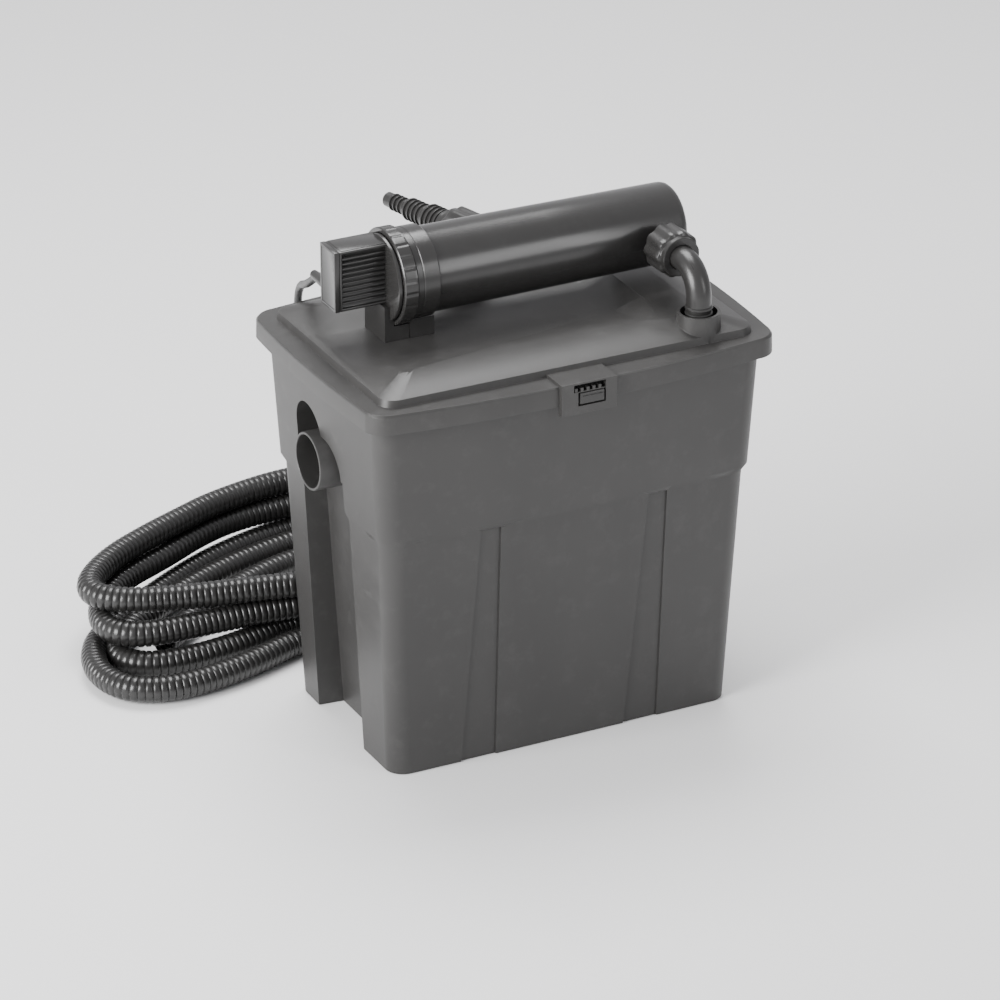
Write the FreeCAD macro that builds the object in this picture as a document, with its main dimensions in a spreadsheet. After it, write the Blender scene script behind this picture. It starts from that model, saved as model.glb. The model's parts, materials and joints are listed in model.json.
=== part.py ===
import FreeCAD, Part
import math
import os
import re
import Sketcher
from FreeCAD import Placement, Rotation, Vector

# Flow-through pond filter with an ultraviolet clarifier on its lid.
# Origin: centre of the tub's base. +Z up, -Y the latch side, -X the outlet side. Millimetres.

doc = FreeCAD.newDocument("PondFilter")
sheet = doc.addObject("Spreadsheet::Sheet", "Sizes")

SIZES = {
    # tub: half lengths run along X, half widths along Y, measured at the corners
    "wall": 3.4, "tub_height": 333, "waist_height": 222, "waist_drop": 7,
    "base_half_length": 158.3, "base_half_width": 93.3, "base_corner": 16,
    "lower_half_length": 168.1, "lower_half_width": 103.4,
    "upper_half_length": 171.6, "upper_half_width": 106.9,
    "top_half_length": 177, "top_half_width": 112.4, "tub_corner": 18,
    "end_bow": 4, "side_bow": 11, "lip_depth": 7, "lip_width": 4.5,
    "flute_depth": 1.8, "recess_depth": 22, "recess_front": 38, "recess_back": 54,
    # lid
    "lid_half_length": 186, "lid_half_width": 121, "lid_corner": 20,
    "rim_height": 342, "skirt_depth": 17, "lid_wall": 3,
    "crown_half_length": 171, "crown_half_width": 109.5, "crown_corner": 14,
    "crown_step": 348, "crown_height": 358, "valley_floor": 350,
    "ridge_half_length": 136.5, "ridge_half_width": 79,
    "socket_across": 125, "socket_along": 90, "socket_radius": 18, "socket_height": 364,
    "socket_bore": 15.5, "latch_half_width": 25, "latch_front": 135.8,
    # hinge
    "hinge_back": 137, "hinge_height": 321, "pin_radius": 2.45, "pin_hole": 2.5,
    "knuckle_radius": 5, "hinge_place": 85, "ear_half": 7, "knuckle_half": 15,
    # outlet
    "outlet_radius": 25, "outlet_wall": 2.5, "outlet_along": 8.5, "outlet_height": 252,
    "outlet_end": 185, "outlet_inner_end": 118, "outlet_flange": 32, "outlet_grip": 31,
    # ultraviolet clarifier: its tube's axis runs along X
    "uv_along": 15, "uv_height": 400, "tube_radius": 36, "tube_end_radius": 34,
    "tube_wall": 2.6, "tube_end": 156, "collar_radius": 38.5, "collar_length": 21,
    "mouth": 98, "ring_radius": 41, "ring_length": 12.7,
    "sleeve_radius": 12.5, "sleeve_wall": 1.2, "lamp_radius": 4.5,
    "head_end": 160.8, "head_front": 2, "head_back": 30, "head_bottom": 382, "head_top": 434.5,
    "head_wall": 2.5, "fin_pitch": 4.3, "fin_thickness": 1.6,
    # elbow and unions
    "elbow_radius": 10.5, "elbow_wall": 2, "bend_radius": 25, "nozzle_radius": 15,
    "union_radius": 18.5, "union_length": 29.5, "union_front": 59.5,
    "tail_turn": 14.2, "tail_root": 2.8, "tail_bore": 5.5,
    "barb_large": 12.5, "barb_medium": 10, "barb_small": 7.6,
    # inside the tub
    "foam_height": 262, "foam_width": 172, "foam_thickness": 38,
    "ball_radius": 9, "screw_radius": 1.9,
    # cords
    "lead_radius": 3.5, "lead_coil_radius": 40, "hose_radius": 11.5,
}
for row, (alias, size) in enumerate(SIZES.items(), start=1):
    sheet.set(f"A{row}", alias)
    sheet.set(f"B{row}", str(size))
    sheet.setAlias(f"B{row}", alias)
doc.recompute()

SCREW_PLACES = (-115.3, -86)
NAMES = re.compile(r"[a-z][a-z_]+")
PIECES = []


def linked(text):
    """The expression with every driving dimension named through the sheet."""
    return NAMES.sub(lambda m: "Sizes." + m.group(0) if m.group(0) in SIZES else m.group(0), str(text))


def number(text):
    """The value of an expression of driving dimensions."""
    return float(sheet.evalExpression(linked(text)))


def bind(obj, **sizes):
    for prop, text in sizes.items():
        obj.setExpression(prop, linked(text))
    return obj


def piece(obj, label):
    """Names a finished sub-part: its label is its file's name."""
    obj.Label = label
    PIECES.append(obj)
    return obj


DIRECTIONS = {
    "Z": Rotation(), "X": Rotation(Vector(0, 1, 0), 90), "-Y": Rotation(Vector(1, 0, 0), 90),
    "Y": Rotation(Vector(1, 0, 0), -90), "-X": Rotation(Vector(0, 1, 0), -90),
}


def place(at, direction="Z"):
    return Placement(Vector(*[number(a) for a in at]), DIRECTIONS[direction])


def box(length, width, height, at):
    obj = doc.addObject("Part::Box", "Block")
    bind(obj, Length=length, Width=width, Height=height)
    obj.Placement = place(at)
    return obj


def cylinder(radius, length, at, direction="Z"):
    obj = doc.addObject("Part::Cylinder", "Rod")
    bind(obj, Radius=radius, Height=length)
    obj.Placement = place(at, direction)
    return obj


def cone(radius_a, radius_b, length, at, direction="Z"):
    obj = doc.addObject("Part::Cone", "Cone")
    bind(obj, Radius1=radius_a, Radius2=radius_b, Height=length)
    obj.Placement = place(at, direction)
    return obj


def ring(radius, section, at, direction="Z"):
    obj = doc.addObject("Part::Torus", "Ring")
    bind(obj, Radius1=radius, Radius2=section)
    obj.Placement = place(at, direction)
    return obj


def feature(shape, name="Shape"):
    obj = doc.addObject("Part::Feature", name)
    obj.Shape = shape
    return obj


def fuse(*parts):
    obj = doc.addObject("Part::MultiFuse", "Joined")
    obj.Shapes = list(parts)
    return obj


def cut(base, *tools):
    obj = doc.addObject("Part::Cut", "Cut")
    obj.Base = base
    obj.Tool = tools[0] if len(tools) == 1 else fuse(*tools)
    return obj


def tube(radius, bore, length, at, direction="Z"):
    return cut(cylinder(radius, length, at, direction), cylinder(bore, length, at, direction))


def plane_of(body, role):
    return next(f for f in body.Origin.OriginFeatures if f.Role == role)


def new_sketch(body, name, role):
    sketch = body.newObject("Sketcher::SketchObject", name)
    sketch.AttachmentSupport = [(plane_of(body, role), "")]
    sketch.MapMode = "FlatFace"
    return sketch


def fix(sketch, kind, geometry, end, text):
    """Dimensions one sketch point from the sketch's origin, or puts it on an axis at zero."""
    value = number(text)
    if abs(value) < 1e-9:
        axis = -2 if kind == "DistanceX" else -1
        sketch.addConstraint(Sketcher.Constraint("PointOnObject", geometry, end, axis))
        return
    index = sketch.addConstraint(Sketcher.Constraint(kind, -1, 1, geometry, end, value))
    sketch.setExpression(f"Constraints[{index}]", linked(text))


def turned(name, profile, placement):
    """A turned piece: a profile of (radius, height) corners revolved about its own Z."""
    body = doc.addObject("PartDesign::Body", name)
    sketch = new_sketch(body, name + "Profile", "XZ_Plane")
    corners = [Vector(number(r), number(z), 0) for r, z in profile]
    count = len(corners)
    for i in range(count):
        sketch.addGeometry(Part.LineSegment(corners[i], corners[(i + 1) % count]), False)
    for i in range(count):
        sketch.addConstraint(Sketcher.Constraint("Coincident", i, 2, (i + 1) % count, 1))
        fix(sketch, "DistanceX", i, 1, profile[i][0])
        fix(sketch, "DistanceY", i, 1, profile[i][1])
    turn = body.newObject("PartDesign::Revolution", name + "Turn")
    turn.Profile = sketch
    turn.ReferenceAxis = (sketch, ["V_Axis"])
    turn.Angle = 360
    body.Tip = turn
    body.Placement = placement
    return body


def disc_body(name, radius, bore, length, placement, notches=0, notch_radius=2.0):
    """A padded ring with optional round notches worked round its edge by a polar pattern."""
    body = doc.addObject("PartDesign::Body", name)
    sketch = new_sketch(body, name + "Section", "XY_Plane")
    for index, text in enumerate((radius, bore)):
        sketch.addGeometry(Part.Circle(Vector(), Vector(0, 0, 1), number(text)), False)
        sketch.addConstraint(Sketcher.Constraint("Coincident", index, 3, -1, 1))
        at = sketch.addConstraint(Sketcher.Constraint("Radius", index, number(text)))
        sketch.setExpression(f"Constraints[{at}]", linked(text))
    pad = body.newObject("PartDesign::Pad", name + "Pad")
    pad.Profile = sketch
    pad.setExpression("Length", linked(length))
    body.Tip = pad
    if notches:
        notch = new_sketch(body, name + "Notch", "XY_Plane")
        notch.addGeometry(Part.Circle(Vector(number(radius), 0, 0), Vector(0, 0, 1), notch_radius), False)
        fix(notch, "DistanceX", 0, 3, radius)
        notch.addConstraint(Sketcher.Constraint("PointOnObject", 0, 3, -1))
        notch.addConstraint(Sketcher.Constraint("Radius", 0, notch_radius))
        pocket = body.newObject("PartDesign::Pocket", name + "Groove")
        pocket.Profile = notch
        pocket.Type = "ThroughAll"
        pocket.Midplane = True
        pattern = body.newObject("PartDesign::PolarPattern", name + "Grooves")
        pattern.Originals = [pocket]
        pattern.Axis = (notch, ["N_Axis"])
        pattern.Angle = 360
        pattern.Occurrences = notches
        body.Tip = pattern
    body.Placement = placement
    return body


def outline(half_length, half_width, corner, end_bow, side_bow, height):
    """A rounded rectangle whose sides bow outwards, as one closed wire at a height."""
    a, b, r = half_length, half_width, corner
    slant = r * (1 - math.sqrt(0.5))
    edges = []
    for sx, sy in ((1, -1), (1, 1), (-1, 1), (-1, -1)):
        along = Vector(sx * (a - r), sy * b, height)
        bend = Vector(sx * (a - slant), sy * (b - slant), height)
        across = Vector(sx * a, sy * (b - r), height)
        first, last = (along, across) if sx * sy < 0 else (across, along)
        edges.append(Part.Arc(first, bend, last).toShape())
    middles = (Vector(a + end_bow, 0, height), Vector(0, b + side_bow, height),
               Vector(-a - end_bow, 0, height), Vector(0, -b - side_bow, height))
    sides = []
    for i, middle in enumerate(middles):
        start = edges[i].valueAt(edges[i].LastParameter)
        end = edges[(i + 1) % 4].valueAt(edges[(i + 1) % 4].FirstParameter)
        sides.append(Part.Arc(start, middle, end).toShape())
    loop = [edge for pair in zip(edges, sides) for edge in pair]
    return Part.Wire(loop)


def outward(solid):
    """The same solid with its faces looking outwards."""
    if solid.Volume < 0:
        solid.reverse()
    return solid


def stack(*wires):
    """A solid through outlines one above the other, with straight walls between them."""
    return outward(Part.makeLoft(list(wires), True, True))


def tub_level(level, inset=0.0, height=None):
    """One outline of the tub, moved in by inset."""
    levels = {
        "base": ("base_half_length", "base_half_width", "base_corner", 0.5, 0.6, "0"),
        "lower": ("lower_half_length", "lower_half_width", "tub_corner", 1.2, 3.3,
                  "waist_height - waist_drop"),
        "upper": ("upper_half_length", "upper_half_width", "tub_corner", 2, 5.5, "waist_height"),
        "top": ("top_half_length", "top_half_width", "tub_corner", 4, 11, "tub_height"),
    }
    a, b, r, end_bow, side_bow, z = levels[level]
    return outline(number(a) - inset, number(b) - inset, number(r) - inset * 0.6,
                   end_bow, side_bow, number(z) if height is None else height)


def prism(points, vector):
    """A straight-sided solid from flat corner points."""
    corners = [Vector(*p) for p in points]
    face = Part.Face(Part.makePolygon(corners + [corners[0]]))
    return outward(face.extrude(Vector(*vector)))


def loft_between(lower, upper):
    loops = [Part.makePolygon([Vector(*p) for p in pts + [pts[0]]]) for pts in (lower, upper)]
    return outward(Part.makeLoft(loops, True, True))


def recess(extra):
    """The upright channel in the outlet end, with its arched head. extra thickens it for the wall."""
    front, back = -number("recess_front") - extra, number("recess_back") + extra
    deep_top = -number("top_half_length - 3 - recess_depth") + extra
    deep_base = -number("base_half_length - recess_depth") + extra
    shoulder = 249.0
    outside = -number("lid_half_length") - 30

    def level(deep, z):
        return [(outside, front - 4, z), (deep, front + 4, z), (deep, back - 4, z), (outside, back + 4, z)]

    channel = loft_between(level(deep_base, -5.0), level(deep_top, shoulder))
    length = deep_top - outside
    corner = 28.0 + extra
    low, high = front + 4 + corner, back - 4 - corner
    rounds = [Part.makeCylinder(corner, length, Vector(outside, y, shoulder), Vector(1, 0, 0))
              for y in (low, high)]
    head = Part.makeBox(length, high - low, corner + 10, Vector(outside, low, shoulder - 10))
    arch_radius = 24.5 + extra
    arch_round = Part.makeCylinder(arch_radius, length, Vector(outside, 23.5, 273), Vector(1, 0, 0))
    arch_leg = Part.makeBox(length, 2 * arch_radius, 40, Vector(outside, 23.5 - arch_radius, 233))
    return channel.fuse(rounds + [head, arch_round, arch_leg])


def flute(left_top, left_base, right_top, right_base, side):
    """A shallow tapered channel below the waist: side is -1 on the front, 1 on the back."""
    top = number("waist_height - waist_drop") + 0.5
    middle = (left_top + right_top) / 2
    bow = 3.3 * (1 - (middle / number("lower_half_length")) ** 2)
    deep_top = number("lower_half_width - flute_depth") + bow
    deep_base = number("base_half_width - flute_depth") + 0.5
    far = number("lid_half_width") + 20
    upper = [(left_top, side * far, top), (right_top, side * far, top),
             (right_top - 2, side * deep_top, top), (left_top + 2, side * deep_top, top)]
    lower = [(left_base, side * far, -1), (right_base, side * far, -1),
             (right_base - 2, side * deep_base, -1), (left_base + 2, side * deep_base, -1)]
    return loft_between(lower, upper)


# ---------------------------------------------------------------- tub

def make_tub():
    wall = number("wall")
    waist = number("waist_height - waist_drop")
    shell = stack(tub_level("base"), tub_level("lower")).fuse([
        stack(tub_level("lower"), tub_level("upper")),
        stack(tub_level("upper"), tub_level("top"))])
    lip_base = number("tub_height - lip_depth")
    grow = -number("lip_width")
    shell = shell.fuse(stack(tub_level("top", grow, lip_base), tub_level("top", grow)))
    hollow = stack(tub_level("base", wall, number("wall")), tub_level("lower", wall, waist + 2)).fuse(
        stack(tub_level("lower", wall, waist + 2), tub_level("top", wall, number("tub_height") + 0.01)))
    hollow = hollow.cut(recess(wall))
    shell = shell.cut([hollow, recess(0.0)])
    for side in (-1, 1):
        shell = shell.cut([flute(-85, -98, -63, -62, side), flute(70, 54, 91, 90, side)])
    centre = Vector(-number("top_half_length - 3 - recess_depth") - 0.2,
                    number("outlet_along"), number("outlet_height"))
    boss = Part.makeCylinder(number("outlet_flange") + 1, 8, centre, Vector(1, 0, 0))
    shell = shell.fuse(boss)
    shell = shell.cut(Part.makeCylinder(number("outlet_radius") + 1.3, 60, centre - Vector(20, 0, 0),
                                        Vector(1, 0, 0)))
    ledge_top = number("foam_height + wall + 9.3")
    for along in (-70, 30):
        shell = shell.fuse(prism([(150, along, ledge_top), (172, along, ledge_top), (172, along, ledge_top - 26)],
                                 (0, 8, 0)))
    back, height = number("hinge_back"), number("hinge_height")
    for side in (-1, 1):
        for inner, outer in ((-number("knuckle_half"), -number("ear_half") - 0.6),
                             (number("ear_half") + 0.6, number("knuckle_half"))):
            start = side * number("hinge_place") + inner
            length = outer - inner
            arm = Part.makeBox(length, back - 117.5, 7, Vector(start, 117.5, height - 4))
            barrel = Part.makeCylinder(number("knuckle_radius"), length, Vector(start, back, height),
                                       Vector(1, 0, 0))
            hole = Part.makeCylinder(number("pin_hole"), length + 2, Vector(start - 1, back, height),
                                     Vector(1, 0, 0))
            shell = shell.fuse([arm, barrel]).cut(hole)
    return piece(feature(shell.removeSplitter(), "Tub"), "tub")


def make_outlet():
    x = "-(top_half_length - 3 - recess_depth)"
    place_x = Placement(Vector(-number("outlet_end"), number("outlet_along"), number("outlet_height")),
                        DIRECTIONS["X"])
    seat = "outlet_end - (top_half_length - 3 - recess_depth) + 9.8"
    pipe = turned("OutletPipe", [
        ("outlet_radius - outlet_wall", 0), ("outlet_radius", 0), ("outlet_radius", "outlet_grip"),
        ("outlet_radius + 1", "outlet_grip"), ("outlet_radius + 1", seat),
        ("outlet_flange", seat), ("outlet_flange", seat + " + 4"), ("outlet_radius", seat + " + 4"),
        ("outlet_radius", "outlet_end - outlet_inner_end"),
        ("outlet_radius - outlet_wall - 0.5", "outlet_end - outlet_inner_end"),
        ("outlet_radius - outlet_wall - 0.5", "outlet_grip"),
        ("outlet_radius - outlet_wall", "outlet_grip")], place_x)
    piece(pipe, "outlet_pipe")
    gasket_start = number(x) - 0.2 + 8
    piece(tube("outlet_flange", "outlet_radius + 1.3", 2, (gasket_start, "outlet_along", "outlet_height"), "X"),
          "outlet_gasket")
    start = ("-outlet_inner_end - 18", "outlet_along", "outlet_height")
    cap = cut(cylinder("outlet_radius + 2.3", 46, start, "X"), cylinder("outlet_radius + 0.3", 44, start, "X"))
    slots = []
    for turn in range(4):
        slot = box(20, 60, 4, ("-outlet_inner_end + 3", -30, -2))
        turned_by = Rotation(Vector(1, 0, 0), 45 * turn)
        middle = Vector(0, number("outlet_along"), number("outlet_height"))
        slot.Placement = Placement(middle, turned_by).multiply(slot.Placement)
        slots.append(slot)
    piece(cut(cap, *slots), "outlet_strainer")


def make_hinge_pins():
    pins = [cylinder("pin_radius", "2 * knuckle_half + 2",
                     (f"{side} * hinge_place - knuckle_half - 1", "hinge_back", "hinge_height"), "X")
            for side in (-1, 1)]
    group = doc.addObject("Part::Compound", "HingePins")
    group.Links = pins
    piece(group, "hinge_pins")


# ---------------------------------------------------------------- inside the tub

def make_media():
    grid = box("2 * base_half_length - 48", "2 * base_half_width - 16", 5,
               ("-base_half_length + 33", "-base_half_width + 8", "wall"))
    slots = []
    for i in range(11):
        slots.append(box(10, "2 * base_half_width - 34", 8, (-118 + 22 * i, "-base_half_width + 17", "wall - 1")))
    piece(cut(grid, *slots), "support_grid")

    floor = "wall + 5.3"
    cassette = cut(box(134, "foam_width + 6", "foam_height + 4", (-40, "-foam_width / 2 - 3", floor)),
                   box(128, "foam_width + 0.6", "foam_height + 10", (-37, "-foam_width / 2 - 0.3", floor + " + 3")))
    windows = []
    for row in range(5):
        for column in range(3):
            windows.append(box(200, 44, 38, (-60, -76 + 54 * column, 22 + 50 * row)))
    for row in range(5):
        for column in range(3):
            windows.append(box(32, 260, 38, (-33 + 43 * column, -130, 22 + 50 * row)))
    piece(cut(cassette, *windows), "foam_cassette")
    for index, name in enumerate(("fine_foam", "medium_foam", "coarse_foam")):
        start = -35 + index * (number("foam_thickness") + 4.5)
        piece(box("foam_thickness", "foam_width", "foam_height - 2",
                  (start, "-foam_width / 2", floor + " + 3.3")), name)

    basket_floor = "wall + 5.3"
    basket = cut(box(66, 168, 150, (-112, -84, basket_floor)),
                 box(60, 162, 148, (-109, -81, basket_floor + " + 3")))
    openings = []
    for row in range(4):
        for column in range(5):
            openings.append(box(80, 22, 24, (-120, -73 + 31 * column, 20 + 34 * row)))
    piece(cut(basket, *openings), "media_basket")
    balls = []
    pitch = 2 * number("ball_radius") + 1.5
    for layer in range(3):
        for row in range(3):
            for column in range(8):
                ball = doc.addObject("Part::Sphere", "Ball")
                bind(ball, Radius="ball_radius")
                ball.Placement.Base = Vector(-98.5 + pitch * row, -68.5 + pitch * column,
                                             22 + pitch * layer)
                balls.append(ball)
    group = doc.addObject("Part::Compound", "Balls")
    group.Links = balls
    piece(group, "bio_media")

    tray_floor = "foam_height + wall + 9.5"
    tray = cut(box(112, 176, 14, (50, -100, tray_floor)),
               box(106, 170, 14, (53, -97, tray_floor + " + 2.5")))
    holes = [cylinder(3, 6, (60 + 13 * i, -88 + 17 * j, tray_floor + " - 1"))
             for i in range(8) for j in range(10)]
    piece(cut(tray, *holes), "distributor_tray")


# ---------------------------------------------------------------- lid

def lid_level(half_length, half_width, corner, height, inset=0.0, bow=1.0):
    return outline(number(half_length) - inset, number(half_width) - inset, number(corner) - inset * 0.6,
                   number("end_bow") * bow + 0.05, number("side_bow") * bow + 0.05, height)


def crown(inset, drop):
    """The raised middle of the lid: a short wall and four slopes up to a flat top."""
    base, step, top = number("rim_height") - drop - 3, number("crown_step") - drop, number("crown_height") - drop
    lower = lid_level("crown_half_length", "crown_half_width", "crown_corner", base, inset, 0)
    edge = lid_level("crown_half_length - 2", "crown_half_width - 2", "crown_corner", step, inset, 0)
    upper = lid_level("ridge_half_length", "ridge_half_width", "crown_corner / 2", top, inset, 0)
    return stack(lower, edge).fuse(stack(edge, upper))


def valley(drop):
    """The low way under the clarifier, open at the outlet end."""
    floor, top = number("valley_floor") - drop, number("crown_height") + 0.5
    left, right, fade = -number("lid_half_length"), 78.0, 104.0

    def section(x, raised):
        z = floor + raised
        return [(x, -84 + raised * 2, top), (x, -29 + drop / 3, z), (x, 34.6 - drop / 3, z), (x, 48 + raised, top)]

    body = prism(section(left, 0), (right - left, 0, 0))
    return body.fuse(loft_between(section(right, 0), section(fade, (top - floor) * 0.9)))


def make_lid():
    wall = number("lid_wall")
    rim, skirt = number("rim_height"), number("rim_height - skirt_depth")
    low = lid_level("lid_half_length", "lid_half_width", "lid_corner", skirt)
    turn = lid_level("lid_half_length - 0.3", "lid_half_width - 0.3", "lid_corner", rim - 2)
    top = lid_level("lid_half_length - 1.5", "lid_half_width - 1.5", "lid_corner", rim)
    outer = stack(low, turn).fuse([stack(turn, top), crown(0.0, 0.0)]).cut(valley(0.0))
    inner_low = lid_level("lid_half_length", "lid_half_width", "lid_corner", skirt - 1, wall)
    inner_top = lid_level("lid_half_length", "lid_half_width", "lid_corner", rim - wall, wall)
    inner = stack(inner_low, inner_top).fuse(crown(wall, wall).cut(valley(wall)))
    shell = outer.cut(inner)
    # socket boss for the elbow
    across, along = number("socket_across"), -number("socket_along")
    boss_base = rim - wall
    boss = Part.makeCone(number("socket_radius") + 1, number("socket_radius"),
                         number("socket_height") - boss_base, Vector(across, along, boss_base))
    shell = shell.fuse(boss)
    shell = shell.cut(Part.makeCylinder(number("socket_bore"), 60, Vector(across, along, rim - 20)))
    shell = shell.cut([Part.makeCylinder(number("screw_radius") + 0.3, 10, Vector(x, number("uv_along"), rim))
                       for x in SCREW_PLACES])
    # latch plate over the front rim, with a toothed window and a notch for the push tab
    half, front = number("latch_half_width"), -number("latch_front")
    plate = Part.makeBox(2 * half, 6, 27, Vector(-half, front, 317))
    bridge = Part.makeBox(2 * half, 28, 4, Vector(-half, front, 340.5))
    shell = shell.fuse([plate, bridge])
    shell = shell.cut([
        Part.makeBox(29, 9, 6.5, Vector(-14, front - 1, 336.5)),
        Part.makeBox(25, 9, 12.5, Vector(-10, front - 1, 324))])
    teeth = [Part.makeBox(2.6, 4.5, 3.6, Vector(-13 + 5.4 * i, front + 0.6, 335.9)) for i in range(5)]
    bar = Part.makeBox(29, 4.5, 0.9, Vector(-14, front + 0.6, 335.6))
    shell = shell.fuse(teeth + [bar])
    # hinge ears behind the rear rim
    back, height = number("hinge_back"), number("hinge_height")
    for side in (-1, 1):
        start, width = side * number("hinge_place") - number("ear_half"), 2 * number("ear_half")
        barrel = Part.makeCylinder(number("knuckle_radius"), width, Vector(start, back, height), Vector(1, 0, 0))
        arm = prism([(start, 128.2, 327), (start, 128.2, 339), (start, 133, 338),
                     (start, back + 4.8, height + 1), (start, back - 4.5, height + 2)], (width, 0, 0))
        hole = Part.makeCylinder(number("pin_hole"), width + 2, Vector(start - 1, back, height), Vector(1, 0, 0))
        shell = shell.fuse([barrel, arm]).cut(hole)
    return piece(feature(shell.removeSplitter(), "Lid"), "lid")


def make_lid_fittings():
    rim = number("rim_height")
    ring_shape = []
    for inset in (4.2, 7.4):
        low = lid_level("lid_half_length", "lid_half_width", "lid_corner", number("tub_height") + 0.1, inset)
        high = lid_level("lid_half_length", "lid_half_width", "lid_corner", rim - 3.1, inset)
        ring_shape.append(stack(low, high))
    piece(feature(ring_shape[0].cut(ring_shape[1]), "LidSeal"), "lid_seal")
    piece(fuse(box(22, 3.2, 8.1, (-8.5, "-latch_front - 0.2", 325.5)),
               cylinder(1.6, 22, (-8.5, "-latch_front + 1.4", 333.6), "X"),
               box(19, 1.2, 6, (-7, "-latch_front - 1.2", 326.5))), "latch_tab")
    socket = ("socket_across", "-socket_along", "rim_height - 1")
    piece(tube("socket_bore - 0.1", "elbow_radius + 0.1", 8, socket), "socket_grommet")
    drop = cut(fuse(cylinder(14, 38, ("socket_across", "-socket_along", 300)),
                    cylinder(18.5, 2.6, ("socket_across", "-socket_along", "rim_height - lid_wall - 2.8"))),
               cylinder(12, 60, ("socket_across", "-socket_along", 290)))
    piece(drop, "drop_pipe")


# ---------------------------------------------------------------- ultraviolet clarifier

UV_AXIS = ("uv_along", "uv_height")


def make_foot():
    """The two moulded feet under the clarifier, each held by a screw from inside the lid."""
    z = "valley_floor + 0.1"
    holes = [cylinder("screw_radius + 0.05", 12, (x, "uv_along", "valley_floor - 2")) for x in SCREW_PLACES]
    foot = cut(fuse(box(8.3, 38, 31, (-119.5, -4, z)), box(22, 38, 24, (-119.5, -4, z))),
               cylinder("ring_radius + 0.5", 14, (-111.1,) + UV_AXIS, "X"), holes[0])
    piece(foot, "uv_foot")
    clip = cut(box(22.5, 38, 30, (-97, -4, z)), cylinder("collar_radius + 0.2", 30, (-100,) + UV_AXIS, "X"),
               holes[1])
    piece(clip, "uv_foot_clip")
    screws = [fuse(cylinder("screw_radius", 11, (x, "uv_along", "valley_floor - lid_wall - 2.6")),
                   cylinder(3.8, 2.4, (x, "uv_along", "valley_floor - lid_wall - 2.6")))
              for x in SCREW_PLACES]
    group = doc.addObject("Part::Compound", "FootScrews")
    group.Links = screws
    piece(group, "foot_screws")


def tail_axis(distance):
    """A point on the hose tail's axis, measured out from the clarifier's axis."""
    turn = math.radians(number("tail_turn"))
    return Vector(number("tail_root") - math.sin(turn) * distance,
                  number("uv_along") + math.cos(turn) * distance, number("uv_height"))


def tail_placement(distance):
    spin = Rotation(Vector(0, 0, 1), number("tail_turn"))
    return Placement(tail_axis(distance), spin.multiply(DIRECTIONS["Y"]))


def make_housing():
    length = "tube_end + mouth"
    outer = [("0", length), ("0", "0"), ("collar_radius", "0"), ("collar_radius", "collar_length"),
             ("tube_radius", "collar_length"), ("tube_end_radius", length + " - 8"),
             ("tube_end_radius - 2.5", length + " - 2.5"), ("tube_end_radius - 8", length)]
    solid = turned("Housing", outer, Placement(Vector(-number("mouth"), number("uv_along"),
                                                      number("uv_height")), DIRECTIONS["X"]))
    bore = cone("tube_radius - tube_wall", "tube_end_radius - tube_wall", "tube_end + mouth - 3.2",
                ("-mouth - 0.1",) + UV_AXIS, "X")
    outlet = cylinder("nozzle_radius", 30, (125, -14, "uv_height"), "-Y")
    inlet = cylinder("nozzle_radius", 26, (0, 0, 0))
    inlet.Placement = tail_placement(30)
    outlet_bore = cylinder("nozzle_radius - 4", 50, (125, 5, "uv_height"), "-Y")
    inlet_bore = cylinder("nozzle_radius - 4", 50, (0, 0, 0))
    inlet_bore.Placement = tail_placement(8)
    piece(cut(fuse(solid, outlet, inlet), bore, outlet_bore, inlet_bore), "uv_housing")


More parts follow.
